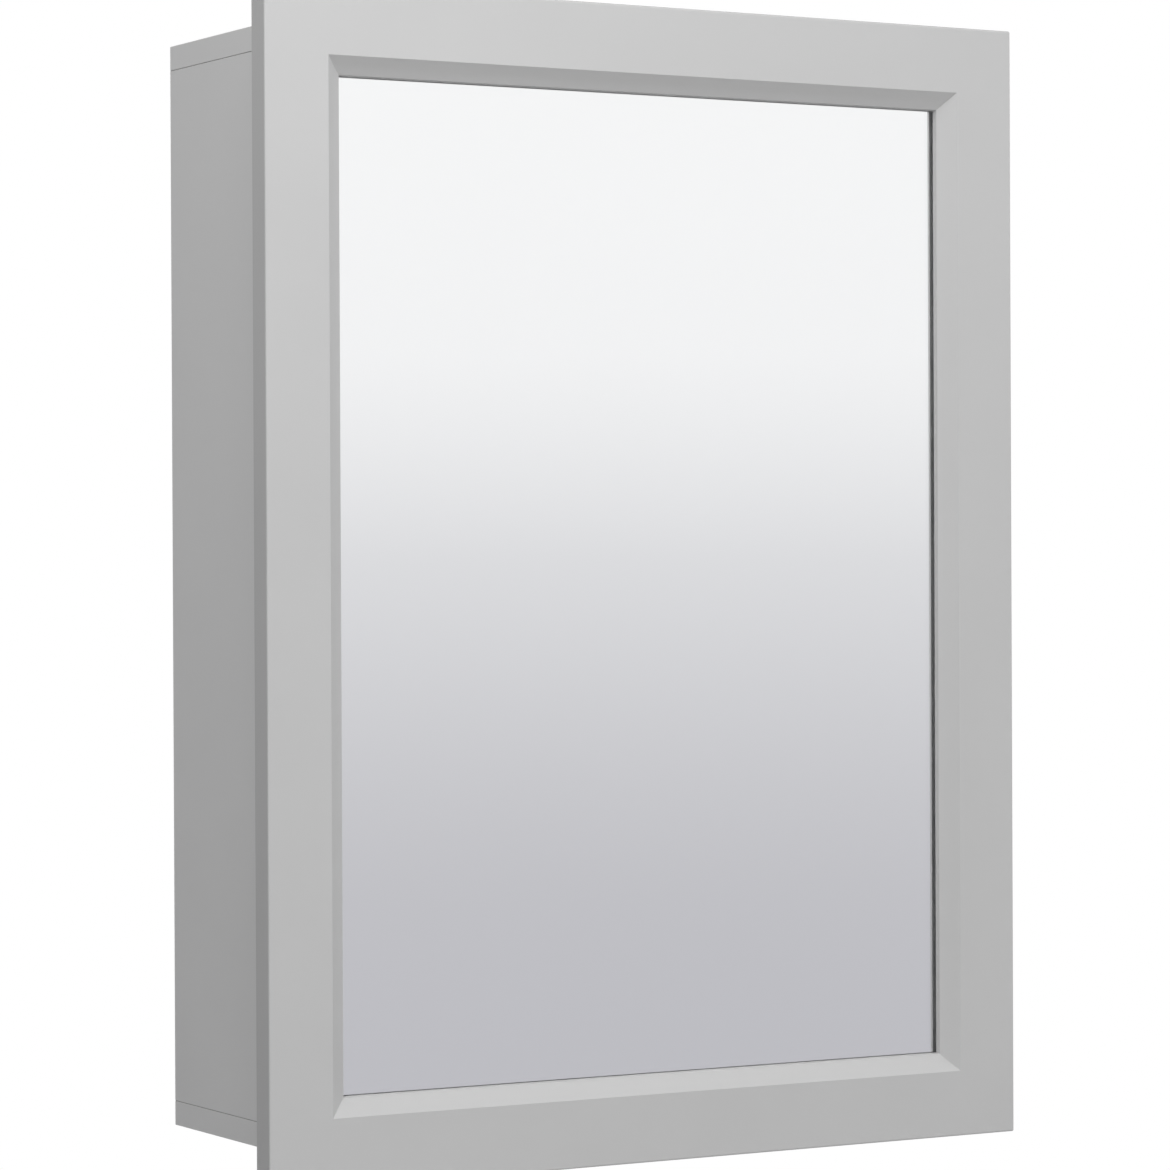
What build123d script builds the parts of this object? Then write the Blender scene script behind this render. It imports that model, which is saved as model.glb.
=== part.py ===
from build123d import *
from math import radians, tan
import os

# Wall cabinet with one framed mirror door, in millimetres. X runs to the viewer's right,
# Y towards the wall and Z up. The origin is the middle of the back, on the wall's face.

# The door: a routed frame with the mirror let in from behind.
door_width = 457.0
door_height = 610.0
overhang = 17.0  # how far the door passes the carcass on all four sides
door_arris = 1.0
frame_face = 35.8  # flat width from the door's edge to the cove
cove_width = 9.2
cove_depth = 6.9
cove_turn = 41.0  # degrees that the cove's arc turns through
cove_arris = 0.4
lip_height = 2.6  # from the cove's foot down to the glass
lip_draft = 0.6  # how far the lip leans in over the glass
glass_thickness = 3.0
glass_cover = 6.0  # how far the frame covers the glass
glass_clearance = 0.25
glass_arris = 0.4
backing_thickness = 2.5

# The clips that keep the mirror in.
clip_on_frame = 9.5
clip_on_glass = 6.5
clip_width = 12.0
clip_thickness = 1.0
clip_corner = 2.0
clip_spacing_tall = 250.0
clip_spacing_wide = 180.0

# The carcass: boards with eased edges, held by cam fittings and dowels.
carcass_depth = 135.0
board = 13.0
board_ease = 0.4
back_thickness = 3.0
back_clearance = 0.25
rebate_width = 6.0
rail_height = 60.0

# The wall fixings, through both rails and the back panel.
hanging_spacing = 300.0
hanging_hole_radius = 2.75

# The shelves, each with three heights to choose from.
shelf_thickness = 12.0
shelf_spacing = 192.0
shelf_setback = 8.0  # behind the carcass's front edges
shelf_side_clearance = 0.8
shelf_rear_clearance = 1.0
pin_pitch = 32.0
pin_setback = 37.0  # of both columns of holes, from the front and rear edges
pin_radius = 2.5
pin_shank_length = 8.0
pin_hole_spare = 1.0
pin_nose_radius = 4.0
pin_nose_length = 9.0
pin_nose_ease = 1.0
pin_seat_height = 2.0  # the nose's flat, above the pin's axis
rest_gap = 0.2

# The cam fittings and dowels.
cam_radius = 7.5
cam_web = 2.5  # wood left behind a cam
cam_reach = 24.0  # from a board's end to the cam's axis
cam_bore_radius = 3.5
cam_setback = 30.0  # of both rows of cams, from the front and rear edges
cam_slot_length = 8.0
cam_slot_width = 1.4
cam_slot_depth = 1.6
bolt_thread_radius = 2.5
bolt_thread_length = 8.0
bolt_collar_radius = 3.3
bolt_collar_length = 1.5
bolt_shaft_radius = 2.0
bolt_head_radius = 3.0
bolt_head_length = 4.0
dowel_radius = 3.0
dowel_in_face = 8.0
dowel_in_end = 18.0
dowel_chamfer = 0.8
rail_fixing_offset = 14.0  # of a rail's cam and dowel, either side of its middle

# The bypass hinges: the carcass leaf nests in the door leaf's window.
hinge_offset = 80.0  # from the carcass's end to the hinge's middle
leaf_thickness = 1.6
leaf_clearance = 0.4
leaf_corner = 1.5
carcass_leaf_height = 30.0
carcass_leaf_width = 12.5  # from the pin's axis
ear_height = 9.6  # of the door leaf, above and below its window
web_width = 6.6  # of the door leaf, beyond its window
barrel_radius = 2.8
barrel_clearance = 0.2
hinge_pin_radius = 1.4
hinge_pin_fit = 0.05
hinge_pin_tip = 0.8
hinge_pin_tip_radius = 2.1
hinge_screw_pitch = 16.0

# The screws and nails.
screw_radius = 1.4
screw_length = 11.0
screw_head_radius = 2.6
screw_angle = 82.0
pan_head_height = 1.6
pan_crown_radius = 1.8
drive_length = 3.0
drive_width = 0.7
drive_depth = 0.7
nail_radius = 0.7
nail_length = 12.0
nail_head_radius = 1.5
nail_angle = 90.0
slack = 0.05  # round each screw, nail, dowel, cam and magnet in its seat

# The magnetic catch, on the right side panel behind the door's free edge.
catch_body_length = 24.0
catch_ear_length = 11.0
catch_ear_thickness = 2.6
catch_ear_setback = 3.0
catch_corner = 2.0
catch_thickness = 9.0
catch_depth = 14.0
catch_wall = 1.4
catch_set_in = 0.5  # of the housing's front, from the carcass's front edge
pole_thickness = 1.2
magnet_recess = 1.0
strike_thickness = 1.0
strike_length = 40.0
strike_corner = 2.0
strike_screw_pitch = 28.0
strike_gap = 0.3
bumper_radius = 4.0
bumper_offset = 20.0
bumper_gap = 0.3
bumper_dome = 0.8

# What follows from those sizes.
door_gap = leaf_thickness + leaf_clearance
mirror_depth = cove_depth + lip_height
door_thickness = mirror_depth + glass_thickness + backing_thickness
door_back_y = -carcass_depth - door_gap
door_front_y = door_back_y - door_thickness
opening_width = door_width - 2 * (frame_face + cove_width)
opening_height = door_height - 2 * (frame_face + cove_width)
sight_width = opening_width - 2 * lip_draft
sight_height = opening_height - 2 * lip_draft
mirror_seat_width = sight_width + 2 * glass_cover
mirror_seat_height = sight_height + 2 * glass_cover
carcass_width = door_width - 2 * overhang
carcass_height = door_height - 2 * overhang
inner_width = carcass_width - 2 * board
inner_height = carcass_height - 2 * board
side_middle = (carcass_width - board) / 2
back_seat_width = inner_width + 2 * rebate_width
back_seat_height = inner_height + 2 * rebate_width
rail_middle = (inner_height - rail_height) / 2
rail_front_y = -back_thickness - board
rail_middle_y = -back_thickness - board / 2
cam_depth = board - cam_web
hinge_middle = carcass_height / 2 - hinge_offset
window_height = carcass_leaf_height + 2 * leaf_clearance
window_width = carcass_leaf_width + leaf_clearance
hinge_height = window_height + 2 * ear_height
pin_axis_x = -carcass_width / 2 - barrel_clearance - barrel_radius
pin_axis_y = door_back_y + barrel_radius + barrel_clearance / 2
catch_middle = (inner_width - catch_thickness) / 2
catch_front_y = catch_set_in - carcass_depth
catch_length = catch_body_length + 2 * catch_ear_length
pocket_width = catch_thickness - 2 * catch_wall
pocket_depth = catch_depth - catch_wall
pocket_length = catch_body_length - 2 * catch_wall
screw_cone = (screw_head_radius - screw_radius) / tan(radians(screw_angle / 2))
nail_cone = (nail_head_radius - nail_radius) / tan(radians(nail_angle / 2))

AHEAD = (Align.CENTER, Align.CENTER, Align.MIN)
BEHIND = (Align.CENTER, Align.CENTER, Align.MAX)
FROM_BACK = (Align.CENTER, Align.MAX, Align.CENTER)
FROM_FRONT = (Align.CENTER, Align.MIN, Align.CENTER)
SIDES = (-1, 1)


def turned(seats):
    """The same seats, facing the other way."""
    return [Plane(origin=seat.origin, z_dir=-seat.z_dir) for seat in seats]


# Seats are planes where a fitting enters a face, and each points into what it enters.
cam_rows = (cam_setback - carcass_depth, -cam_setback)
cam_height = inner_height / 2 - cam_reach
cam_across = inner_width / 2 - cam_reach
rail_cam_z = rail_middle - rail_fixing_offset
rail_dowel_z = rail_middle + rail_fixing_offset
CORNERS = [(x, z) for x in SIDES for z in SIDES]
cam_seats = [
    Plane(origin=(x * side_middle, y, z * inner_height / 2), z_dir=(0, 0, -z))
    for x, z in CORNERS
    for y in cam_rows
] + [Plane(origin=(x * inner_width / 2, rail_middle_y, z * rail_cam_z), z_dir=(-x, 0, 0)) for x, z in CORNERS]
cam_pockets = [
    Plane(origin=(x * inner_width / 2, y, z * cam_height), z_dir=(x, 0, 0)) for x, z in CORNERS for y in cam_rows
] + [Plane(origin=(x * cam_across, rail_front_y, z * rail_cam_z), z_dir=(0, 1, 0)) for x, z in CORNERS]
dowel_seats = [
    Plane(origin=(x * side_middle, -carcass_depth / 2, z * inner_height / 2), z_dir=(0, 0, -z))
    for x, z in CORNERS
] + [
    Plane(origin=(x * inner_width / 2, rail_middle_y, z * rail_dowel_z), z_dir=(-x, 0, 0)) for x, z in CORNERS
]
hanging_seats = [
    Plane(origin=(x * hanging_spacing / 2, 0, z * rail_middle), z_dir=(0, -1, 0)) for x, z in CORNERS
]
nail_line_x = (inner_width + rebate_width) / 2
nail_line_z = (inner_height + rebate_width) / 2
nail_seats = [
    Plane(origin=(x * nail_line_x, 0, step * inner_height / 5), z_dir=(0, -1, 0))
    for x in SIDES
    for step in (-1.8, -0.9, 0, 0.9, 1.8)
] + [
    Plane(origin=(step * inner_width / 3, 0, z * nail_line_z), z_dir=(0, -1, 0))
    for z in SIDES
    for step in (-1, 0, 1)
]
clip_planes = [
    Plane(
        origin=(x * mirror_seat_width / 2, door_back_y, z * clip_spacing_tall / 2),
        x_dir=(x, 0, 0),
        z_dir=(0, 1, 0),
    )
    for x, z in CORNERS
] + [
    Plane(
        origin=(x * clip_spacing_wide / 2, door_back_y, z * mirror_seat_height / 2),
        x_dir=(0, 0, z),
        z_dir=(0, 1, 0),
    )
    for x, z in CORNERS
]
clip_screw_seats = [
    Plane(origin=plane.from_local_coords((clip_on_frame / 2, 0, clip_thickness)), z_dir=(0, -1, 0))
    for plane in clip_planes
]
carcass_screw_seats = [
    Plane(
        origin=(-side_middle, -carcass_depth - leaf_thickness, z * hinge_middle + end * hinge_screw_pitch / 2),
        z_dir=(0, 1, 0),
    )
    for z in SIDES
    for end in SIDES
]
ear_screw_x = pin_axis_x + window_width / 2 + barrel_radius
web_screw_x = pin_axis_x + window_width + web_width / 2
ear_screw_z = (window_height + ear_height) / 2
door_screw_seats = [
    Plane(origin=(x, door_back_y + leaf_thickness, side * hinge_middle + z), z_dir=(0, -1, 0))
    for side in SIDES
    for x, z in ((ear_screw_x, -ear_screw_z), (web_screw_x, 0), (ear_screw_x, ear_screw_z))
]
catch_screw_seats = [
    Plane(
        origin=(
            inner_width / 2 - catch_ear_thickness,
            catch_front_y + (catch_ear_setback + catch_depth) / 2,
            end * (catch_body_length + catch_ear_length) / 2,
        ),
        z_dir=(1, 0, 0),
    )
    for end in SIDES
]
strike_screw_seats = [
    Plane(
        origin=(catch_middle, door_back_y + strike_thickness, end * strike_screw_pitch / 2),
        z_dir=(0, -1, 0),
    )
    for end in SIDES
]


def shelf_pin_seats(middle, rows):
    """The seats of the pins in both side panels, at some rows above and below a shelf's middle row."""
    return [
        Plane(origin=(x * inner_width / 2, y, middle + row * pin_pitch), z_dir=(x, 0, 0))
        for x in SIDES
        for y in (pin_setback - carcass_depth, -pin_setback)
        for row in rows
    ]


def bore(seats, radius, depth):
    """Cuts a round hole at each seat into the open part."""
    with Locations(*seats):
        Cylinder(radius, depth, align=AHEAD, mode=Mode.SUBTRACT)


def sink(seats, radius, head_radius, depth, angle):
    """Cuts a countersunk hole at each seat into the open part."""
    with Locations(*turned(seats)):
        CounterSinkHole(radius + slack, head_radius + slack, depth + slack, counter_sink_angle=angle)


def sink_screws(seats):
    """Cuts the countersunk hole of each screw into the open part."""
    sink(seats, screw_radius, screw_head_radius, screw_length, screw_angle)


def sink_nails():
    """Cuts the countersunk hole of each nail of the back panel into the open part."""
    sink(nail_seats, nail_radius, nail_head_radius, nail_length, nail_angle)


def drill_fittings():
    """Cuts every hole that the cam fittings and dowels need into the open part."""
    bore(cam_seats, cam_bore_radius, cam_reach)
    bore(turned(cam_seats), bolt_thread_radius + slack, bolt_thread_length + slack)
    bore(cam_pockets, cam_radius, cam_depth)
    bore(dowel_seats, dowel_radius + slack, dowel_in_end + slack)
    bore(turned(dowel_seats), dowel_radius + slack, dowel_in_face + slack)


def cut_back_rebate():
    """Cuts the rebate of the back panel, with its nail holes, into the open part."""
    Box(back_seat_width, back_thickness, back_seat_height, align=FROM_BACK, mode=Mode.SUBTRACT)
    sink_nails()


def cut_drives(seats):
    """Cuts a cross recess at each seat into the heads of the open part."""
    with Locations(*seats):
        Box(drive_length, drive_width, drive_depth, align=AHEAD, mode=Mode.SUBTRACT)
        Box(drive_width, drive_length, drive_depth, align=AHEAD, mode=Mode.SUBTRACT)


def countersunk_screws(seats):
    """Countersunk wood screws whose heads lie flush with their seats."""
    with BuildPart() as screws:
        with Locations(*seats):
            Cone(screw_head_radius, screw_radius, screw_cone, align=AHEAD)
            Cylinder(screw_radius, screw_length, align=AHEAD)
        cut_drives(seats)
    return screws


# The boards of the carcass.
def end_panel(side):
    """The top or bottom panel, which lies across the ends of the side panels."""
    with BuildPart() as panel:
        with BuildSketch(Plane.XY.offset(side * inner_height / 2)):
            with Locations((0, -carcass_depth / 2)):
                Rectangle(carcass_width, carcass_depth)
        extrude(amount=side * board)
        fillet(panel.edges(), board_ease)
        cut_back_rebate()
        drill_fittings()
    return panel


def side_panel(side):
    """A side panel with its shelf holes."""
    with BuildPart() as panel:
        with BuildSketch(Plane.YZ.offset(side * inner_width / 2)):
            with Locations((-carcass_depth / 2, 0)):
                Rectangle(carcass_depth, inner_height)
        extrude(amount=side * board)
        fillet(panel.edges(), board_ease)
        cut_back_rebate()
        drill_fittings()
        for middle in (-shelf_spacing / 2, shelf_spacing / 2):
            bore(shelf_pin_seats(middle, (-1, 0, 1)), pin_radius + slack, pin_shank_length + pin_hole_spare)
        sink_screws(carcass_screw_seats)
        bore(catch_screw_seats, screw_radius + slack, screw_length + slack)
    return panel


def rail(side):
    """A rail in front of the back panel, which takes the wall screws."""
    with BuildPart() as bar:
        with BuildSketch(Plane.XZ.offset(back_thickness)):
            with Locations((0, side * rail_middle)):
                Rectangle(inner_width, rail_height)
        extrude(amount=board)
        fillet(bar.edges(), board_ease)
        bore(hanging_seats, hanging_hole_radius, back_thickness + board)
        drill_fittings()
    return bar


top_panel = end_panel(1)
bottom_panel = end_panel(-1)
left_side_panel = side_panel(-1)
right_side_panel = side_panel(1)
upper_rail = rail(1)
lower_rail = rail(-1)

with BuildPart() as back_panel:
    with BuildSketch(Plane.XZ):
        Rectangle(back_seat_width - 2 * back_clearance, back_seat_height - 2 * back_clearance)
    extrude(amount=back_thickness)
    bore(hanging_seats, hanging_hole_radius, back_thickness)
    sink_nails()

# What holds the boards together.
with BuildPart() as cam_bolts:
    with Locations(*cam_seats):
        Cylinder(bolt_thread_radius, bolt_thread_length, align=BEHIND)
        Cylinder(bolt_collar_radius, bolt_collar_length, align=AHEAD)
        Cylinder(bolt_shaft_radius, cam_reach, align=AHEAD)
    with Locations(*[seat.offset(cam_reach) for seat in cam_seats]):
        Cylinder(bolt_head_radius, bolt_head_length)

with BuildPart() as cam_nuts:
    with Locations(*cam_pockets):
        Cylinder(cam_radius - slack, cam_depth - slack, align=AHEAD)
        Box(cam_slot_length, cam_slot_width, cam_slot_depth, align=AHEAD, mode=Mode.SUBTRACT)
        Box(cam_slot_width, cam_slot_length, cam_slot_depth, align=AHEAD, mode=Mode.SUBTRACT)
    bore(cam_seats, cam_bore_radius, cam_reach + bolt_head_length)

with BuildPart() as dowels:
    with Locations(*[seat.offset(-dowel_in_face) for seat in dowel_seats]):
        Cylinder(dowel_radius, dowel_in_face + dowel_in_end, align=AHEAD)
    chamfer(dowels.edges().filter_by(GeomType.CIRCLE), dowel_chamfer)

with BuildPart() as back_panel_nails:
    with Locations(*nail_seats):
        Cone(nail_head_radius, nail_radius, nail_cone, align=AHEAD)
        Cylinder(nail_radius, nail_length, align=AHEAD)


# The shelves.
def shelf(middle):
    """A loose shelf, seated on the noses of the pins in its middle row."""
    front_y = shelf_setback - carcass_depth
    rear_y = -back_thickness - shelf_rear_clearance
    with BuildPart() as plate:
        with BuildSketch(Plane.XY.offset(middle + pin_seat_height + rest_gap)):
            with Locations((0, (front_y + rear_y) / 2)):
                Rectangle(inner_width - 2 * shelf_side_clearance, rear_y - front_y)
        extrude(amount=shelf_thickness)
        fillet(plate.edges(), board_ease)
    return plate


def shelf_pins(middle):
    """Four pins for one shelf: a round shank in the panel and a nose cut flat on top."""
    seats = shelf_pin_seats(middle, (0,))
    with BuildPart() as pins:
        with Locations(*seats):
            Cylinder(pin_nose_radius, pin_nose_length, align=BEHIND)
        inner_tips = pins.faces().filter_by(Axis.X).group_by(lambda face: abs(face.center().X))[0]
        fillet(inner_tips.edges(), pin_nose_ease)
        with Locations((0, -carcass_depth / 2, middle + pin_seat_height)):
            Box(inner_width, carcass_depth, 2 * pin_nose_radius, align=AHEAD, mode=Mode.SUBTRACT)
        with Locations(*seats):
            Cylinder(pin_radius, pin_shank_length, align=AHEAD)
    return pins


lower_shelf = shelf(-shelf_spacing / 2)
upper_shelf = shelf(shelf_spacing / 2)
lower_shelf_pins = shelf_pins(-shelf_spacing / 2)
upper_shelf_pins = shelf_pins(shelf_spacing / 2)


# The door.
def window_profile(opening, sight):
    """The window's outline, as distance across against depth behind the door's face."""
    foot = opening / 2
    rim = foot + cove_width
    chord = (cove_width**2 + cove_depth**2) ** 0.5
    hollow = chord / 2 * tan(radians(cove_turn / 4))
    hollow_across = rim - cove_width / 2 - hollow * cove_depth / chord
    hollow_depth = cove_depth / 2 + hollow * cove_width / chord
    with BuildSketch() as outline:
        with BuildLine():
            for side in SIDES:
                Line((0, 0), (side * rim, 0))
                ThreePointArc((side * rim, 0), (side * hollow_across, hollow_depth), (side * foot, cove_depth))
                Line((side * foot, cove_depth), (side * sight / 2, mirror_depth))
                Line((side * sight / 2, mirror_depth), (0, mirror_depth))
        make_face()
    return outline.sketch


# The window is what two crossing profiles share, which mitres its cove and lip at the corners.
with BuildPart() as window:
    with BuildSketch(Plane(origin=(0, door_front_y, 0), x_dir=(1, 0, 0), z_dir=(0, 0, 1))):
        add(window_profile(opening_width, sight_width))
    extrude(amount=door_height / 2, both=True)
    with BuildSketch(Plane(origin=(0, door_front_y, 0), x_dir=(0, 0, 1), z_dir=(-1, 0, 0))):
        add(window_profile(opening_height, sight_height))
    extrude(amount=door_width / 2, both=True, mode=Mode.INTERSECT)

with BuildPart() as door_frame:
    with BuildSketch(Plane.XZ.offset(-door_back_y)):
        Rectangle(door_width, door_height)
    extrude(amount=door_thickness)
    fillet(door_frame.edges().filter_by(Axis.Y) + door_frame.faces().sort_by(Axis.Y)[0].edges(), door_arris)
    fillet(door_frame.faces().sort_by(Axis.Y)[-1].edges(), board_ease)
    add(window.part, mode=Mode.SUBTRACT)
    with Locations((0, door_back_y, 0)):
        Box(
            mirror_seat_width,
            glass_thickness + backing_thickness,
            mirror_seat_height,
            align=FROM_BACK,
            mode=Mode.SUBTRACT,
        )
    fillet(door_frame.faces().sort_by(Axis.Y)[0].inner_wires()[0].edges(), cove_arris)
    sink_screws(door_screw_seats + clip_screw_seats + strike_screw_seats)


def pane(back_y, thickness):
    """A plate with eased edges that fills the mirror's seat."""
    with BuildPart() as plate:
        with BuildSketch(Plane.XZ.offset(-back_y)):
            Rectangle(mirror_seat_width - 2 * glass_clearance, mirror_seat_height - 2 * glass_clearance)
        extrude(amount=thickness)
        chamfer(plate.edges(), glass_arris)
    return plate


mirror_glass = pane(door_back_y - backing_thickness, glass_thickness)
mirror_backing = pane(door_back_y, backing_thickness)

with BuildPart() as backing_clips:
    with BuildSketch(*clip_planes):
        with Locations(((clip_on_frame - clip_on_glass) / 2, 0)):
            RectangleRounded(clip_on_frame + clip_on_glass, clip_width, clip_corner)
    extrude(amount=clip_thickness)
    sink_screws(clip_screw_seats)

backing_clip_screws = countersunk_screws(clip_screw_seats)


# The hinges.
def leaf_blank(side, height, width, front_y):
    """A hinge leaf before drilling: a plate rolled into a barrel round the pin."""
    with BuildPart() as leaf:
        with BuildSketch(Plane.XY.offset(side * hinge_middle)):
            with Locations((pin_axis_x, front_y)):
                Rectangle(width, leaf_thickness, align=(Align.MIN, Align.MIN))
            with Locations((pin_axis_x, pin_axis_y)):
                Circle(barrel_radius)
                Circle(hinge_pin_radius + hinge_pin_fit, mode=Mode.SUBTRACT)
        extrude(amount=height / 2, both=True)
        fillet(leaf.faces().sort_by(Axis.X)[-1].edges().filter_by(Axis.Y), leaf_corner)
    return leaf.part


def carcass_leaf(side):
    """The inner leaf, on the left side panel's front edge."""
    with BuildPart() as leaf:
        add(leaf_blank(side, carcass_leaf_height, carcass_leaf_width, -carcass_depth - leaf_thickness))
        sink_screws(carcass_screw_seats)
    return leaf


def door_leaf(side):
    """The outer leaf, on the door's back, with a window that the inner leaf nests in."""
    with BuildPart() as leaf:
        add(leaf_blank(side, hinge_height, window_width + web_width, door_back_y))
        with Locations((pin_axis_x + window_width, pin_axis_y, side * hinge_middle)):
            Box(
                window_width + 2 * barrel_radius,
                4 * barrel_radius,
                window_height,
                align=(Align.MAX, Align.CENTER, Align.CENTER),
                mode=Mode.SUBTRACT,
            )
        sink_screws(door_screw_seats)
    return leaf


def hinge_pin(side):
    """A hinge's pin, with a low head at each end."""
    with BuildPart() as pin:
        with Locations((pin_axis_x, pin_axis_y, side * hinge_middle)):
            Cylinder(hinge_pin_radius, hinge_height)
        for end, align in zip(SIDES, (BEHIND, AHEAD)):
            with Locations((pin_axis_x, pin_axis_y, side * hinge_middle + end * hinge_height / 2)):
                Cylinder(hinge_pin_tip_radius, hinge_pin_tip, align=align)
        tips = pin.faces().sort_by(Axis.Z)
        fillet(tips[0].edges() + tips[-1].edges(), hinge_pin_tip / 2)
    return pin


lower_hinge_carcass_leaf = carcass_leaf(-1)
upper_hinge_carcass_leaf = carcass_leaf(1)
lower_hinge_door_leaf = door_leaf(-1)
upper_hinge_door_leaf = door_leaf(1)
lower_hinge_pin = hinge_pin(-1)
upper_hinge_pin = hinge_pin(1)
hinge_carcass_screws = countersunk_screws(carcass_screw_seats)
hinge_door_screws = countersunk_screws(door_screw_seats)

# The magnetic catch and the bumpers.
with BuildPart() as catch_housing:
    with BuildSketch(Plane.YZ.offset(inner_width / 2)):
        with Locations((catch_front_y + (catch_ear_setback + catch_depth) / 2, 0)):
            RectangleRounded(catch_depth - catch_ear_setback, catch_length, catch_corner)
    extrude(amount=-catch_ear_thickness)
    with BuildSketch(Plane.YZ.offset(inner_width / 2)):
        with Locations((catch_front_y + catch_depth / 2, 0)):
            Rectangle(catch_depth, catch_body_length)
    extrude(amount=-catch_thickness)
    with Locations((catch_middle, catch_front_y, 0)):
        Box(pocket_width, pocket_depth, pocket_length, align=FROM_FRONT, mode=Mode.SUBTRACT)
    bore(catch_screw_seats, screw_radius + slack, screw_length)

pole_front_y = door_back_y + strike_thickness + strike_gap
pole_rear_y = catch_front_y + pocket_depth - slack
with BuildPart() as catch_poles:
    for side in SIDES:
        with Locations((catch_middle + side * (pocket_width / 2 - slack - pole_thickness / 2), pole_front_y, 0)):
            Box(pole_thickness, pole_rear_y - pole_front_y, pocket_length - 2 * slack, align=FROM_FRONT)

with BuildPart() as catch_magnet:
    with Locations((catch_middle, catch_front_y + magnet_recess, 0)):
        Box(
            pocket_width - 2 * pole_thickness - 4 * slack,
            pole_rear_y - catch_front_y - magnet_recess,
            pocket_length - 2 * slack,
            align=FROM_FRONT,
        )

with BuildPart() as catch_screws:
    with Locations(*[seat.offset(-pan_head_height) for seat in catch_screw_seats]):
        Cone(pan_crown_radius, screw_head_radius, pan_head_height, align=AHEAD)
    with Locations(*catch_screw_seats):
        Cylinder(screw_radius, screw_length, align=AHEAD)
    cut_drives([seat.offset(-pan_head_height) for seat in catch_screw_seats])

with BuildPart() as strike_plate:
    with BuildSketch(Plane.XZ.offset(-door_back_y)):
        with Locations((catch_middle, 0)):
            RectangleRounded(catch_thickness, strike_length, strike_corner)
    extrude(amount=-strike_thickness)
    sink_screws(strike_screw_seats)

strike_screws = countersunk_screws(strike_screw_seats)

with BuildPart() as bumpers:
    with BuildSketch(Plane.XZ.offset(carcass_depth)):
        with Locations(*[(side_middle, end * (inner_height / 2 - bumper_offset)) for end in SIDES]):
            Circle(bumper_radius)
    extrude(amount=door_gap - bumper_gap)
    fillet(bumpers.faces().group_by(Axis.Y)[0].edges(), bumper_dome)

pieces = {
    "top_panel": top_panel,
    "bottom_panel": bottom_panel,
    "left_side_panel": left_side_panel,
    "right_side_panel": right_side_panel,
    "back_panel": back_panel,
    "upper_rail": upper_rail,
    "lower_rail": lower_rail,
    "cam_bolts": cam_bolts,
    "cam_nuts": cam_nuts,
    "dowels": dowels,
    "back_panel_nails": back_panel_nails,
    "upper_shelf": upper_shelf,
    "lower_shelf": lower_shelf,
    "upper_shelf_pins": upper_shelf_pins,
    "lower_shelf_pins": lower_shelf_pins,
    "door_frame": door_frame,
    "mirror_glass": mirror_glass,
    "mirror_backing": mirror_backing,
    "backing_clips": backing_clips,
    "backing_clip_screws": backing_clip_screws,
    "upper_hinge_carcass_leaf": upper_hinge_carcass_leaf,
    "lower_hinge_carcass_leaf": lower_hinge_carcass_leaf,
    "upper_hinge_door_leaf": upper_hinge_door_leaf,
    "lower_hinge_door_leaf": lower_hinge_door_leaf,
    "upper_hinge_pin": upper_hinge_pin,
    "lower_hinge_pin": lower_hinge_pin,
    "hinge_carcass_screws": hinge_carcass_screws,
    "hinge_door_screws": hinge_door_screws,
    "catch_housing": catch_housing,
    "catch_magnet": catch_magnet,
    "catch_poles": catch_poles,
    "catch_screws": catch_screws,
    "strike_plate": strike_plate,
    "strike_screws": strike_screws,
    "bumpers": bumpers,
}
os.makedirs("parts", exist_ok=True)
for name, piece in pieces.items():
    piece.part.label = name
    export_step(piece.part, f"parts/{name}.step")
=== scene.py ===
from math import pi, radians

import bmesh
import bpy
from bpy.props import FloatProperty, FloatVectorProperty, PointerProperty
from mathutils import Matrix, Vector


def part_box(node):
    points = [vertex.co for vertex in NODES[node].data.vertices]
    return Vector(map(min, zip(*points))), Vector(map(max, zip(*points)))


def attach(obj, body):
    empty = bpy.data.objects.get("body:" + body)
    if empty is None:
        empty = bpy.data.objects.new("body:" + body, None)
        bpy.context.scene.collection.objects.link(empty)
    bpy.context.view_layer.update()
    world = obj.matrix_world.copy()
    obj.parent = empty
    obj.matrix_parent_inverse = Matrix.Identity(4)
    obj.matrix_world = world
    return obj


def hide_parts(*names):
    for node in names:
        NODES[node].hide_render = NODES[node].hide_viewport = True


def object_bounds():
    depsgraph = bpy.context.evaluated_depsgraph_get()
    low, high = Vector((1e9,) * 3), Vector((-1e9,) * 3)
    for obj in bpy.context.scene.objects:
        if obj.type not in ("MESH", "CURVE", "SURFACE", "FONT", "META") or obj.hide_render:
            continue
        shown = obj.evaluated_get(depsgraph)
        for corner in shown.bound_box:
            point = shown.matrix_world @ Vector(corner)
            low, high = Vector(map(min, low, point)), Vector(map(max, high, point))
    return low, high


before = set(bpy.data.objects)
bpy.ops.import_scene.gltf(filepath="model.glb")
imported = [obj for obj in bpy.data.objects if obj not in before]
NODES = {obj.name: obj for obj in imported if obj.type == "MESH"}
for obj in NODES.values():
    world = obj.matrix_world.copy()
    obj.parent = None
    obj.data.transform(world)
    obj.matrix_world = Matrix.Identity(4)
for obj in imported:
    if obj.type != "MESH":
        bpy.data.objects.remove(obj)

bl_info = {
    "name": "Bathroom Mirror Cabinet",
    "version": (1, 0, 0),
    "blender": (4, 5, 0),
    "location": "3D View > Sidebar > Cabinet",
    "description": "Finishes a wall cabinet with a framed mirror door and sets up its studio",
    "category": "Object",
}

CAD_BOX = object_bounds()

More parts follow.
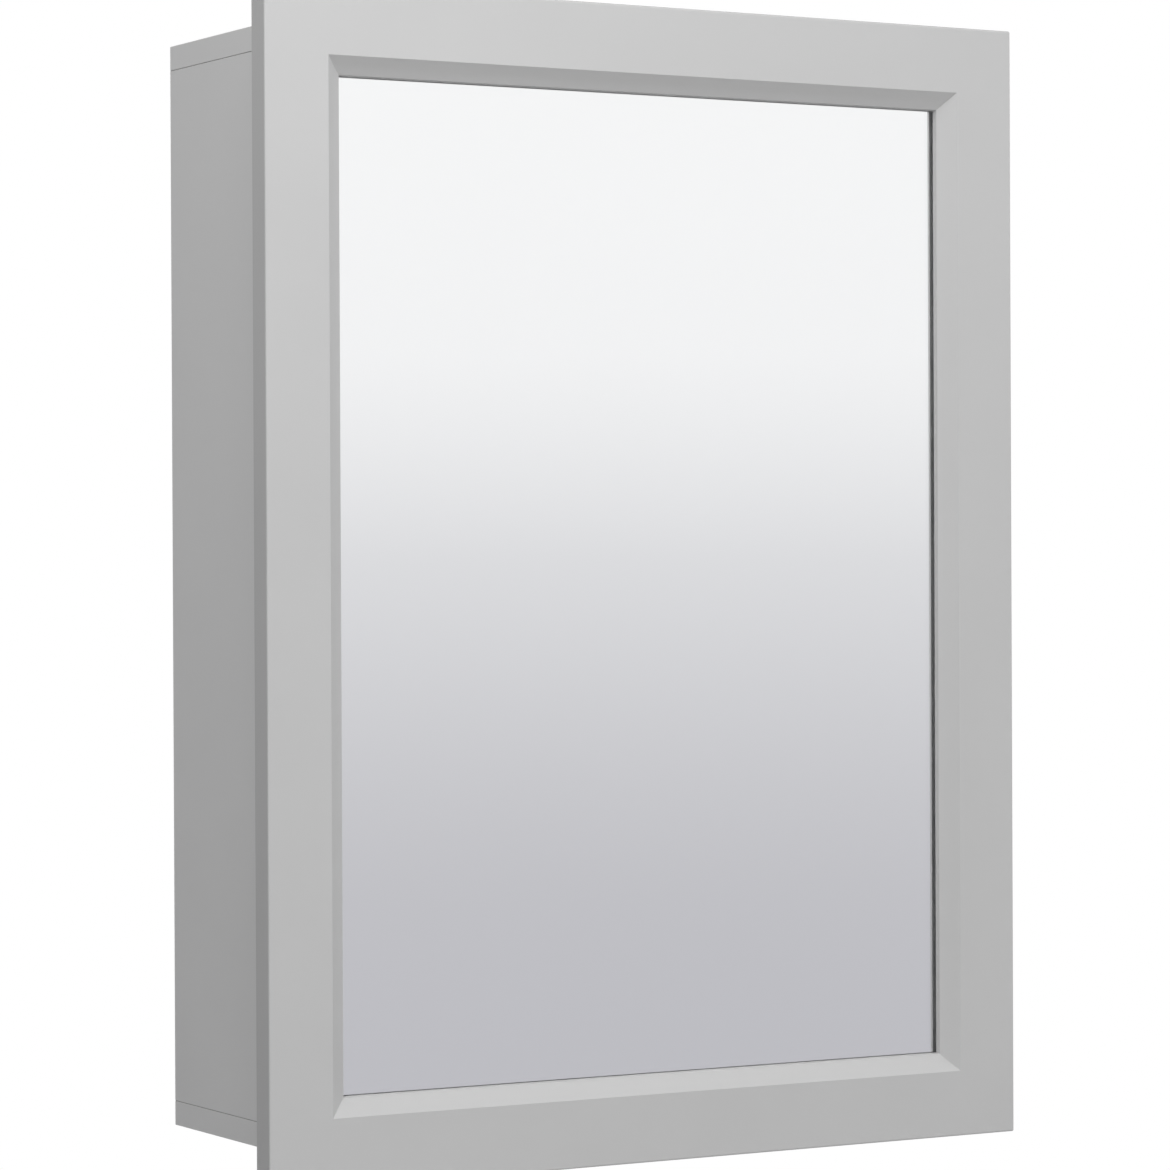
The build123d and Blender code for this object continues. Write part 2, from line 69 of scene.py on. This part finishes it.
BOARDS = (
    "top_panel",
    "bottom_panel",
    "left_side_panel",
    "right_side_panel",
    "upper_rail",
    "lower_rail",
    "upper_shelf",
    "lower_shelf",
)
HARDBOARDS = ("back_panel", "mirror_backing")
NICKELLED = (
    "upper_shelf_pins",
    "lower_shelf_pins",
    "backing_clips",
    "upper_hinge_carcass_leaf",
    "lower_hinge_carcass_leaf",
    "upper_hinge_door_leaf",
    "lower_hinge_door_leaf",
    "upper_hinge_pin",
    "lower_hinge_pin",
    "hinge_carcass_screws",
    "hinge_door_screws",
)
ZINC_PLATED = (
    "cam_bolts",
    "back_panel_nails",
    "backing_clip_screws",
    "catch_poles",
    "catch_screws",
    "strike_plate",
    "strike_screws",
)

# How much the paint's gloss varies to either side.
GLOSS_SPREAD = 0.03

# How far inside the door's outline its painted edge shade starts and is full, in metres.
EDGE_START = 0.0006
EDGE_FULL = 0.0001

# Each lamp's name, place, width and power in watts, and the spot just behind the door that all point at.
LAMPS = (
    ("key", (-0.6, -0.7, 0.9), 0.5, 5.1),
    ("fill", (1.2, -1.2, 1.6), 1.0, 7.6),
    ("rim", (0.0, 1.3, 1.9), 1.0, 14.0),
)
LAMP_TARGET = (0.0, -0.1, 0.0)

# How far the light changes to either side of front and rear, of level, and of the horizon in reflections.
SIDE_BLEND = 0.15
LEVEL_BLEND = 0.1
HORIZON_BLEND = 0.2

# Where the floor's fade starts, in metres from its middle, and where it ends, as a part of its radius.
FADE_START = 0.5
FADE_END = 0.92


# The kinds of setting that the panel shows.
def colour(name, description, default):
    """A colour with no alpha."""
    return FloatVectorProperty(
        name=name, description=description, subtype="COLOR", size=3, min=0.0, max=1.0, default=default
    )


def share(name, description, default):
    """A number from 0 to 1."""
    return FloatProperty(
        name=name, description=description, subtype="FACTOR", min=0.0, max=1.0, default=default
    )


def length(name, description, default):
    """A length in metres."""
    return FloatProperty(name=name, description=description, unit="LENGTH", default=default, precision=5)


def strength(name, description, default):
    """A strength of light, where 1 lights white to white."""
    return FloatProperty(name=name, description=description, min=0.0, default=default)


def turn(name, description, degrees):
    """An angle, given in degrees."""
    return FloatProperty(name=name, description=description, subtype="ANGLE", default=radians(degrees))


class PaintSettings(bpy.types.PropertyGroup):
    """The sprayed satin paint on the boards, the door and the back."""

    colour: colour("Colour", "Colour of the paint", (0.56, 0.56, 0.56))
    roughness: share("Roughness", "Roughness of the satin film", 0.42)
    ripple: length("Ripple", "Width of the ripples that spraying leaves", 0.0022)
    ripple_depth: length("Ripple Depth", "Depth of those ripples", 0.00002)
    # Painted shade: the door's four edges are darkened to this tone, in place of the shade that falls on
    # them, not because the board drinks the paint.
    edge_shade_tone: share("Edge Tone", "Tone of the door's edges, where the board drinks the paint", 0.74)
    # Painted shade: ambient occlusion darkens the paint's colour to this tone in seams and inner corners.
    seam_shade_tone: share("Seam Tone", "Tone at the bottom of the seams between boards", 0.15)
    seam_reach: length("Seam Reach", "How far the seams' shade reaches", 0.0018)


class BoardSettings(bpy.types.PropertyGroup):
    """The bare hardboard at the back and the beech dowels."""

    hardboard: colour("Hardboard", "Colour of the bare side of the hardboard", (0.33, 0.21, 0.12))
    hardboard_dark: colour("Hardboard Fibre", "Colour of its darker fibres", (0.18, 0.105, 0.058))
    beech: colour("Beech", "Colour of the dowels", (0.62, 0.43, 0.26))
    beech_dark: colour("Beech Fleck", "Colour of the dowels' grain", (0.44, 0.27, 0.145))


class MirrorSettings(bpy.types.PropertyGroup):
    """The mirror: a pane of float glass with silver on its back."""

    silver: colour("Silver", "Colour of the silver behind the glass", (0.955, 0.955, 0.955))
    arris: length("Arris", "Width of the pane's ground edges", 0.0004)
    seat_gap: length("Seat Gap", "Gap between the pane and what it lies against", 0.00005)


class MetalSettings(bpy.types.PropertyGroup):
    """The plated steel of the hinges, screws and catch."""

    nickel: colour("Nickel", "Colour of the nickel plate", (0.66, 0.64, 0.60))
    zinc: colour("Zinc", "Colour of the zinc plate", (0.62, 0.64, 0.67))
    casting: colour("Zinc Casting", "Colour of the cast cam nuts", (0.50, 0.50, 0.51))


class StudioSettings(bpy.types.PropertyGroup):
    """The floor, the light from all around and the camera."""

    floor_drop: length("Floor Drop", "Height of the cabinet above the floor", 0.45)
    floor_radius: length("Floor Radius", "Radius of the round floor", 2.3)
    floor: colour("Floor", "Colour of the floor", (0.80, 0.80, 0.80))
    sky: strength("Sky", "Light from above and in front", 0.71)
    rear: strength("Rear", "Light from above and behind", 0.05)
    ground: strength("Ground", "Light from below", 0.85)
    rear_shine: strength("Rear Shine", "What gloss and mirrors see behind the cabinet", 0.6)
    camera_place: FloatVectorProperty(
        name="Camera Place", description="Where the camera stands", subtype="XYZ", unit="LENGTH", size=3,
        default=(-1.1545, -2.0893, 0.0134),
    )
    camera_azimuth: turn("Azimuth", "Turn of the camera's view from straight ahead", 29.809)
    camera_pitch: turn("Pitch", "Tilt of the camera's view above level", -0.3443)
    camera_roll: turn("Roll", "Turn of the camera about its view", -0.2469)
    camera_lens: FloatProperty(
        name="Lens", description="Focal length on a 36 mm sensor", subtype="DISTANCE_CAMERA", default=131.38
    )


class CabinetSettings(bpy.types.PropertyGroup):
    """Everything that the panel shows."""

    paint: PointerProperty(type=PaintSettings)
    boards: PointerProperty(type=BoardSettings)
    mirror: PointerProperty(type=MirrorSettings)
    metal: PointerProperty(type=MetalSettings)
    studio: PointerProperty(type=StudioSettings)


# Help with shader nodes.
def feed(tree, socket, value):
    """Gives a socket a link or a value."""
    if isinstance(value, bpy.types.NodeSocket):
        tree.links.new(value, socket)
    else:
        socket.default_value = value


def add(tree, kind, inputs=None, **options):
    """Adds a node, sets its options and fills its named or numbered inputs."""
    node = tree.nodes.new(kind)
    for name, value in options.items():
        setattr(node, name, value)
    for name, value in (inputs or {}).items():
        feed(tree, node.inputs[name], value)
    return node


def mix(tree, kind, factor, first, second):
    """Mixes two values or two colours."""
    node = add(tree, "ShaderNodeMix", data_type=kind)
    sockets = [socket for socket in node.inputs if socket.enabled]
    for socket, value in zip(sockets, (factor, first, second)):
        feed(tree, socket, value)
    return [socket for socket in node.outputs if socket.enabled][0]


def math(tree, operation, *values):
    """The result of a sum, a comparison or the like."""
    return add(tree, "ShaderNodeMath", dict(enumerate(values)), operation=operation).outputs["Value"]


def spread(tree, value, from_low, from_high, low, high, **options):
    """Spreads a range of a value over another range."""
    inputs = {"Value": value, "From Min": from_low, "From Max": from_high, "To Min": low, "To Max": high}
    return add(tree, "ShaderNodeMapRange", inputs, **options).outputs["Result"]


def noise(tree, vector, scale, detail=2.0, roughness=0.5):
    """The value of a noise texture."""
    inputs = {"Vector": vector, "Scale": scale, "Detail": detail, "Roughness": roughness}
    return add(tree, "ShaderNodeTexNoise", inputs).outputs["Fac"]


def spread_noise(tree, value, low, high):
    """Spreads the middle half of a noise over a range."""
    return spread(tree, value, 0.25, 0.75, low, high)


def tint(tree, given, tone):
    """A colour made lighter or darker."""
    return add(tree, "ShaderNodeHueSaturation", {"Color": given, "Value": tone}).outputs["Color"]


def object_coordinates(tree):
    """The object's own coordinates."""
    return add(tree, "ShaderNodeTexCoord").outputs["Object"]


def rgba(given):
    """A colour with full alpha, as shader sockets want it."""
    return (*given, 1.0)


def new_material(name):
    """A material, its tree and its Principled BSDF."""
    material = bpy.data.materials.new(name)
    material.use_nodes = True
    return material, material.node_tree, material.node_tree.nodes["Principled BSDF"]


def wear(names, material):
    """Gives CAD nodes a material."""
    for name in names:
        NODES[name].material_slots[0].material = material


# The effects that several materials share. Each gives a colour, a roughness and a height.
def effect(name, inputs, build):
    """A node group for an effect, made once."""
    if name in bpy.data.node_groups:
        return bpy.data.node_groups[name]
    tree = bpy.data.node_groups.new(name, "ShaderNodeTree")
    for socket, kind in inputs.items():
        tree.interface.new_socket(name=socket, in_out="INPUT", socket_type=f"NodeSocket{kind}")
    for socket, kind in (("Colour", "Color"), ("Roughness", "Float"), ("Height", "Float")):
        tree.interface.new_socket(name=socket, in_out="OUTPUT", socket_type=f"NodeSocket{kind}")
    given = add(tree, "NodeGroupInput").outputs
    result = add(tree, "NodeGroupOutput").inputs
    for socket, value in zip(("Colour", "Roughness", "Height"), build(tree, given)):
        tree.links.new(value, result[socket])
    return tree


def build_sprayed_film(tree, given):
    """Fine ripples, and slight clouds of tone and gloss."""
    clouds = noise(tree, given["Vector"], given["Clouds"], detail=4.0)
    return (
        tint(tree, given["Colour"], spread_noise(tree, clouds, 0.985, 1.015)),
        spread_noise(tree, clouds, given["Glossiest"], given["Dullest"]),
        noise(tree, given["Vector"], given["Ripples"], detail=1.0),
    )


def build_plated_film(tree, given):
    """Faint streaks of rolling, and specks."""
    stretched = add(tree, "ShaderNodeMapping", {"Vector": given["Vector"], "Scale": (1.0, 1.0, 0.08)})
    streaks = noise(tree, stretched.outputs["Vector"], given["Streaks"], detail=3.0)
    specks = noise(tree, given["Vector"], given["Specks"], detail=5.0, roughness=0.65)
    grain = mix(tree, "FLOAT", 0.45, streaks, specks)
    return (
        tint(tree, given["Colour"], spread_noise(tree, specks, 0.93, 1.05)),
        spread_noise(tree, grain, given["Glossiest"], given["Dullest"]),
        grain,
    )


def build_fibres(tree, given):
    """Fine flecks of two colours, in clouds."""
    flecks = noise(tree, given["Vector"], given["Fineness"], detail=6.0, roughness=0.7)
    clouds = noise(tree, given["Vector"], 22.0, detail=4.0, roughness=0.6)
    dark_flecks = spread_noise(tree, flecks, 1.0, 0.0)
    dark_clouds = spread_noise(tree, clouds, 1.0, 0.0)
    dark = mix(tree, "FLOAT", 0.4, dark_flecks, dark_clouds)
    return (
        mix(tree, "RGBA", dark, given["Light"], given["Dark"]),
        spread_noise(tree, flecks, 0.62, 0.8),
        flecks,
    )


def sprayed_film():
    """The group for sprayed, moulded and pressed surfaces."""
    inputs = {
        "Vector": "Vector", "Colour": "Color", "Ripples": "Float",
        "Clouds": "Float", "Dullest": "Float", "Glossiest": "Float",
    }
    return effect("Sprayed Film", inputs, build_sprayed_film)


def plated_film():
    """The group for plated and cast metal."""
    inputs = {
        "Vector": "Vector", "Colour": "Color", "Streaks": "Float",
        "Specks": "Float", "Dullest": "Float", "Glossiest": "Float",
    }
    return effect("Plated Film", inputs, build_plated_film)


def fibres():
    """The group for bare hardboard and beech."""
    inputs = {"Vector": "Vector", "Light": "Color", "Dark": "Color", "Fineness": "Float"}
    return effect("Fibres", inputs, build_fibres)


def place_effect(tree, group, inputs):
    """Adds an effect to a material, in the object's own coordinates."""
    inputs = {"Vector": object_coordinates(tree), **inputs}
    return add(tree, "ShaderNodeGroup", inputs, node_tree=group).outputs


def wear_effect(tree, shader, outputs, depth, base=None):
    """Feeds an effect to a shader, with its height as a bump of some depth."""
    tree.links.new(base or outputs["Colour"], shader.inputs["Base Color"])
    tree.links.new(outputs["Roughness"], shader.inputs["Roughness"])
    bump = add(tree, "ShaderNodeBump", {"Height": outputs["Height"], "Strength": 1.0, "Distance": depth})
    tree.links.new(bump.outputs["Normal"], shader.inputs["Normal"])


# The painted boards.
def place_paint(tree, paint):
    """Adds the sprayed film in the paint's colour."""
    inputs = {
        "Colour": rgba(paint.colour),
        "Ripples": 1 / paint.ripple,
        "Clouds": 14.0,
        "Dullest": paint.roughness + GLOSS_SPREAD,
        "Glossiest": paint.roughness - GLOSS_SPREAD,
    }
    return place_effect(tree, sprayed_film(), inputs)


class CABINET_OT_paint_boards(bpy.types.Operator):
    """Sprays the carcass and the shelves with satin paint, with painted shade darkening the seams and inner
    corners
    """

    bl_idname = "cabinet.paint_boards"
    bl_label = "Paint Boards"

    def execute(self, context):
        paint = context.scene.cabinet.paint
        material, tree, shader = new_material("Satin Paint")
        film = place_paint(tree, paint)
        # Painted shade: an ambient occlusion node darkens the paint's colour in the seams between boards,
        # in inner corners and in other nooks.
        occlusion_shade = add(tree, "ShaderNodeAmbientOcclusion", {"Distance": paint.seam_reach}, samples=8)
        tone = spread(tree, occlusion_shade.outputs["AO"], 0.45, 0.95, paint.seam_shade_tone, 1.0)
        wear_effect(tree, shader, film, paint.ripple_depth, tint(tree, film["Colour"], tone))
        wear(BOARDS, material)
        return {"FINISHED"}


class CABINET_OT_paint_door(bpy.types.Operator):
    """Sprays the door's frame with satin paint, with painted shade darkening its four edges"""

    bl_idname = "cabinet.paint_door"
    bl_label = "Paint Door"

    def execute(self, context):
        paint = context.scene.cabinet.paint
        material, tree, shader = new_material("Door Paint")
        film = place_paint(tree, paint)
        place = add(tree, "ShaderNodeSeparateXYZ", {"Vector": object_coordinates(tree)}).outputs
        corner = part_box("door_frame")[1]
        sideways, upright = (
            spread(tree, math(tree, "ABSOLUTE", way), reach - EDGE_START, reach - EDGE_FULL, 0.0, 1.0)
            for way, reach in ((place["X"], corner.x), (place["Z"], corner.z))
        )
        # Painted shade: the paint's colour darkens towards the door's four edges.
        edge = math(tree, "MAXIMUM", sideways, upright)
        tone = spread(tree, edge, 0.0, 1.0, 1.0, paint.edge_shade_tone)
        wear_effect(tree, shader, film, paint.ripple_depth, tint(tree, film["Colour"], tone))
        wear(("door_frame",), material)
        return {"FINISHED"}


class CABINET_OT_finish_hardboard(bpy.types.Operator):
    """Paints the room side of the thin boards and leaves their rear bare"""

    bl_idname = "cabinet.finish_hardboard"
    bl_label = "Finish Hardboard"

    def execute(self, context):
        settings = context.scene.cabinet
        for name in HARDBOARDS:
            material, tree, shader = new_material(f"Hardboard {name}")
            film = place_paint(tree, settings.paint)
            inputs = {
                "Light": rgba(settings.boards.hardboard),
                "Dark": rgba(settings.boards.hardboard_dark),
                "Fineness": 420.0,
            }
            bare = place_effect(tree, fibres(), inputs)
            place = add(tree, "ShaderNodeSeparateXYZ", {"Vector": object_coordinates(tree)}).outputs
            lowest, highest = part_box(name)
            rear = math(tree, "GREATER_THAN", place["Y"], highest.y - (highest.y - lowest.y) / 10)
            outputs = {
                "Colour": mix(tree, "RGBA", rear, film["Colour"], bare["Colour"]),
                "Roughness": mix(tree, "FLOAT", rear, film["Roughness"], bare["Roughness"]),
                "Height": mix(tree, "FLOAT", rear, film["Height"], bare["Height"]),
            }
            wear_effect(tree, shader, outputs, settings.paint.ripple_depth)
            wear((name,), material)
        return {"FINISHED"}


# The mirror.
def glass_material():
    """Clear float glass, with the faintest trace of wiping."""
    material, tree, shader = new_material("Float Glass")
    shader.inputs["Base Color"].default_value = (0.985, 0.992, 0.99, 1.0)
    shader.inputs["Transmission Weight"].default_value = 1.0
    shader.inputs["IOR"].default_value = 1.52
    wiped = noise(tree, object_coordinates(tree), 9.0, detail=6.0)
    tree.links.new(spread_noise(tree, wiped, 0.0, 0.004), shader.inputs["Roughness"])
    return material


def silver_material(silver):
    """The silver on the pane's back."""
    material, tree, shader = new_material("Mirror Silver")
    shader.inputs["Metallic"].default_value = 1.0
    shader.inputs["Roughness"].default_value = 0.0
    clouds = noise(tree, object_coordinates(tree), 5.0, detail=3.0)
    toned = tint(tree, rgba(silver), spread_noise(tree, clouds, 0.995, 1.005))
    tree.links.new(toned, shader.inputs["Base Color"])
    return material


class CABINET_OT_hang_mirror(bpy.types.Operator):
    """Makes the mirror as a pane of clear glass with silver on its back"""

    bl_idname = "cabinet.hang_mirror"
    bl_label = "Hang Mirror"

    def execute(self, context):
        mirror = context.scene.cabinet.mirror
        lowest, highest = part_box("mirror_glass")
        gap = Vector((0, mirror.seat_gap, 0))
        size = highest - lowest - 2 * gap
        pane = bmesh.new()
        bmesh.ops.create_cube(pane, size=1.0)
        bmesh.ops.scale(pane, vec=size, verts=pane.verts)
        bmesh.ops.translate(pane, vec=(lowest + highest) / 2, verts=pane.verts)
        bmesh.ops.bevel(
            pane,
            geom=pane.edges[:],
            offset=mirror.arris,
            affect="EDGES",
            segments=2,
            profile=0.5,
            material=-1,
        )
        for face in pane.faces:
            if face.normal.y > 0.99:
                face.material_index = 1
        mesh = bpy.data.meshes.new("mirror_pane")
        pane.to_mesh(mesh)
        pane.free()
        mesh.materials.append(glass_material())
        mesh.materials.append(silver_material(mirror.silver))
        piece = bpy.data.objects.new("mirror_pane", mesh)
        context.scene.collection.objects.link(piece)
        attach(piece, "door")
        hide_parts("mirror_glass")
        return {"FINISHED"}


# The fittings.
class CABINET_OT_plate_steel(bpy.types.Operator):
    """Gives the hinges, pins, screws, nails and cam nuts their metal"""

    bl_idname = "cabinet.plate_steel"
    bl_label = "Plate Steel"

    def execute(self, context):
        metal = context.scene.cabinet.metal
        for name, names, given, dullest, glossiest, specks, depth in (
            ("Nickel Plate", NICKELLED, metal.nickel, 0.34, 0.2, 900.0, 0.000004),
            ("Zinc Plate", ZINC_PLATED, metal.zinc, 0.46, 0.3, 1400.0, 0.000006),
            ("Zinc Casting", ("cam_nuts",), metal.casting, 0.62, 0.45, 1800.0, 0.00003),
        ):
            material, tree, shader = new_material(name)
            shader.inputs["Metallic"].default_value = 1.0
            inputs = {
                "Colour": rgba(given),
                "Streaks": 1600.0,
                "Specks": specks,
                "Dullest": dullest,
                "Glossiest": glossiest,
            }
            wear_effect(tree, shader, place_effect(tree, plated_film(), inputs), depth)
            wear(names, material)
        return {"FINISHED"}


class CABINET_OT_grain_dowels(bpy.types.Operator):
    """Gives the dowels their beech grain"""

    bl_idname = "cabinet.grain_dowels"
    bl_label = "Grain Dowels"

    def execute(self, context):
        boards = context.scene.cabinet.boards
        material, tree, shader = new_material("Bare Beech")
        inputs = {"Light": rgba(boards.beech), "Dark": rgba(boards.beech_dark), "Fineness": 700.0}
        wear_effect(tree, shader, place_effect(tree, fibres(), inputs), 0.00005)
        wear(("dowels",), material)
        return {"FINISHED"}


class CABINET_OT_finish_catch(bpy.types.Operator):
    """Finishes the catch's housing and magnet and the clear bumpers"""

    bl_idname = "cabinet.finish_catch"
    bl_label = "Finish Catch"

    def execute(self, context):
        for name, node, given, dullest, glossiest, ripples, depth, clearness in (
            ("Moulded Plastic", "catch_housing", (0.78, 0.78, 0.76), 0.5, 0.4, 1600.0, 0.00001, 0.0),
            ("Ferrite", "catch_magnet", (0.028, 0.027, 0.026), 0.72, 0.55, 2200.0, 0.00003, 0.0),
            ("Clear Rubber", "bumpers", (0.90, 0.91, 0.91), 0.3, 0.18, 900.0, 0.000005, 0.45),
        ):
            material, tree, shader = new_material(name)
            shader.inputs["Transmission Weight"].default_value = clearness
            shader.inputs["IOR"].default_value = 1.43
            inputs = {
                "Colour": rgba(given),
                "Ripples": ripples,
                "Clouds": 120.0,
                "Dullest": dullest,
                "Glossiest": glossiest,
            }
            wear_effect(tree, shader, place_effect(tree, sprayed_film(), inputs), depth)
            wear((node,), material)
        return {"FINISHED"}


# The studio.
def studio_world(scene, studio):
    """Light from all around. Cameras see white, and gloss and mirrors see a soft horizon."""
    world = bpy.data.worlds.new("Studio")
    scene.world = world
    world.use_nodes = True
    tree = world.node_tree
    tree.nodes.clear()
    direction = add(tree, "ShaderNodeTexCoord").outputs["Generated"]
    way = add(tree, "ShaderNodeSeparateXYZ", {"Vector": direction}).outputs
    above = spread(tree, way["Y"], -SIDE_BLEND, SIDE_BLEND, studio.sky, studio.rear)
    around = spread(tree, way["Z"], -LEVEL_BLEND, LEVEL_BLEND, studio.ground, above)
    height = spread(tree, way["Z"], -HORIZON_BLEND, HORIZON_BLEND, 0.0, 1.0)
    ramp = add(tree, "ShaderNodeValToRGB", {"Fac": height})
    stops = (
        (0.0, (0.54, 0.54, 0.58)),
        (0.30, (0.52, 0.515, 0.55)),
        (0.50, (0.76, 0.76, 0.78)),
        (0.62, (0.97, 0.97, 0.98)),
        (1.0, (1.0, 1.0, 1.0)),
    )
    elements = ramp.color_ramp.elements
    for position, tone in stops[1:-1]:
        elements.new(position)
    for element, (position, tone) in zip(elements, stops):
        element.position = position
        element.color = rgba(tone)
    ramp.color_ramp.interpolation = "B_SPLINE"
    path = add(tree, "ShaderNodeLightPath").outputs
    reflected = math(tree, "MAXIMUM", path["Is Glossy Ray"], path["Is Transmission Ray"])
    shine = spread(tree, way["Y"], -SIDE_BLEND, SIDE_BLEND, 1.0, studio.rear_shine)
    white = rgba((1.0, 1.0, 1.0))
    glow = add(tree, "ShaderNodeBackground", {"Color": white, "Strength": around}).outputs["Background"]
    horizon = add(tree, "ShaderNodeBackground", {"Color": ramp.outputs["Color"], "Strength": shine})
    backdrop = add(tree, "ShaderNodeBackground", {"Color": white, "Strength": 1.0}).outputs["Background"]
    lit = add(tree, "ShaderNodeMixShader", {0: reflected, 1: glow, 2: horizon.outputs["Background"]})
    seen = add(
        tree, "ShaderNodeMixShader", {0: path["Is Camera Ray"], 1: lit.outputs["Shader"], 2: backdrop}
    )
    add(tree, "ShaderNodeOutputWorld", {"Surface": seen.outputs["Shader"]})


def studio_floor(scene, studio):
    """A pale round floor that fades to the white of the background."""
    level = CAD_BOX[0][2] - studio.floor_drop
    disc = bmesh.new()
    bmesh.ops.create_circle(disc, cap_ends=True, segments=96, radius=studio.floor_radius)
    bmesh.ops.translate(disc, vec=(0, 0, level), verts=disc.verts)
    mesh = bpy.data.meshes.new("floor")
    disc.to_mesh(mesh)
    disc.free()
    material, tree, shader = new_material("Floor")
    place = object_coordinates(tree)
    paper = noise(tree, place, 60.0, detail=5.0)
    toned = tint(tree, rgba(studio.floor), spread_noise(tree, paper, 0.99, 1.01))
    tree.links.new(toned, shader.inputs["Base Color"])
    tree.links.new(spread_noise(tree, paper, 0.75, 0.85), shader.inputs["Roughness"])
    flat = add(tree, "ShaderNodeVectorMath", {0: place, 1: (1.0, 1.0, 0.0)}, operation="MULTIPLY")
    away = add(tree, "ShaderNodeVectorMath", {0: flat.outputs["Vector"]}, operation="LENGTH")
    fade = spread(
        tree,
        away.outputs["Value"],
        FADE_START,
        studio.floor_radius * FADE_END,
        0.0,
        1.0,
        interpolation_type="SMOOTHSTEP",
    )
    shown = math(tree, "MULTIPLY", fade, add(tree, "ShaderNodeLightPath").outputs["Is Camera Ray"])
    white = add(tree, "ShaderNodeEmission", {"Color": rgba((1.0, 1.0, 1.0)), "Strength": 1.0})
    mixed = add(
        tree, "ShaderNodeMixShader", {0: shown, 1: shader.outputs["BSDF"], 2: white.outputs["Emission"]}
    )
    tree.links.new(mixed.outputs["Shader"], tree.nodes["Material Output"].inputs["Surface"])
    mesh.materials.append(material)
    floor = bpy.data.objects.new("floor", mesh)
    scene.collection.objects.link(floor)


def softbox(scene, name, place, width, power):
    """A square area lamp aimed at the cabinet."""
    lamp = bpy.data.lights.new(name, "AREA")
    lamp.shape = "SQUARE"
    lamp.size = width
    lamp.energy = power
    box = bpy.data.objects.new(name, lamp)
    box.location = place
    box.rotation_euler = (Vector(LAMP_TARGET) - box.location).to_track_quat("-Z", "Y").to_euler()
    box.visible_camera = False
    scene.collection.objects.link(box)


class CABINET_OT_set_stage(bpy.types.Operator):
    """Sets up the floor, the light and the camera"""

    bl_idname = "cabinet.set_stage"
    bl_label = "Set Stage"

    def execute(self, context):
        scene = context.scene
        studio = scene.cabinet.studio
        scene.view_settings.view_transform = "Standard"
        studio_world(scene, studio)
        studio_floor(scene, studio)
        for name, place, width, power in LAMPS:
            softbox(scene, name, place, width, power)
        lens = bpy.data.cameras.new("camera")
        lens.lens = studio.camera_lens
        lens.sensor_width = 36.0
        camera = bpy.data.objects.new("camera", lens)
        scene.collection.objects.link(camera)
        camera.matrix_world = (
            Matrix.Translation(studio.camera_place)
            @ Matrix.Rotation(-studio.camera_azimuth, 4, "Z")
            @ Matrix.Rotation(pi / 2 + studio.camera_pitch, 4, "X")
            @ Matrix.Rotation(studio.camera_roll, 4, "Z")
        )
        scene.camera = camera
        return {"FINISHED"}


OPERATORS = (
    CABINET_OT_paint_boards,
    CABINET_OT_paint_door,
    CABINET_OT_finish_hardboard,
    CABINET_OT_hang_mirror,
    CABINET_OT_plate_steel,
    CABINET_OT_grain_dowels,
    CABINET_OT_finish_catch,
    CABINET_OT_set_stage,
)
SETTINGS = (PaintSettings, BoardSettings, MirrorSettings, MetalSettings, StudioSettings, CabinetSettings)


class CABINET_PT_panel(bpy.types.Panel):
    """Lists the cabinet's settings and steps"""

    bl_idname = "CABINET_PT_panel"
    bl_label = "Mirror Cabinet"
    bl_space_type = "VIEW_3D"
    bl_region_type = "UI"
    bl_category = "Cabinet"

    def draw(self, context):
        cabinet = context.scene.cabinet
        for group in (cabinet.paint, cabinet.boards, cabinet.mirror, cabinet.metal, cabinet.studio):
            box = self.layout.box()
            for name in group.__annotations__:
                box.prop(group, name)
        for operator in OPERATORS:
            self.layout.operator(operator.bl_idname)


def register():
    for group in SETTINGS + OPERATORS:
        bpy.utils.register_class(group)
    bpy.utils.register_class(CABINET_PT_panel)
    bpy.types.Scene.cabinet = PointerProperty(type=CabinetSettings)


def unregister():
    del bpy.types.Scene.cabinet
    bpy.utils.unregister_class(CABINET_PT_panel)
    for group in reversed(SETTINGS + OPERATORS):
        bpy.utils.unregister_class(group)


def main():
    register()
    bpy.ops.cabinet.paint_boards()
    bpy.ops.cabinet.paint_door()
    bpy.ops.cabinet.finish_hardboard()
    bpy.ops.cabinet.hang_mirror()
    bpy.ops.cabinet.plate_steel()
    bpy.ops.cabinet.grain_dowels()
    bpy.ops.cabinet.finish_catch()
    bpy.ops.cabinet.set_stage()
    bpy.context.view_layer.update()


if __name__ == "__main__":
    main()
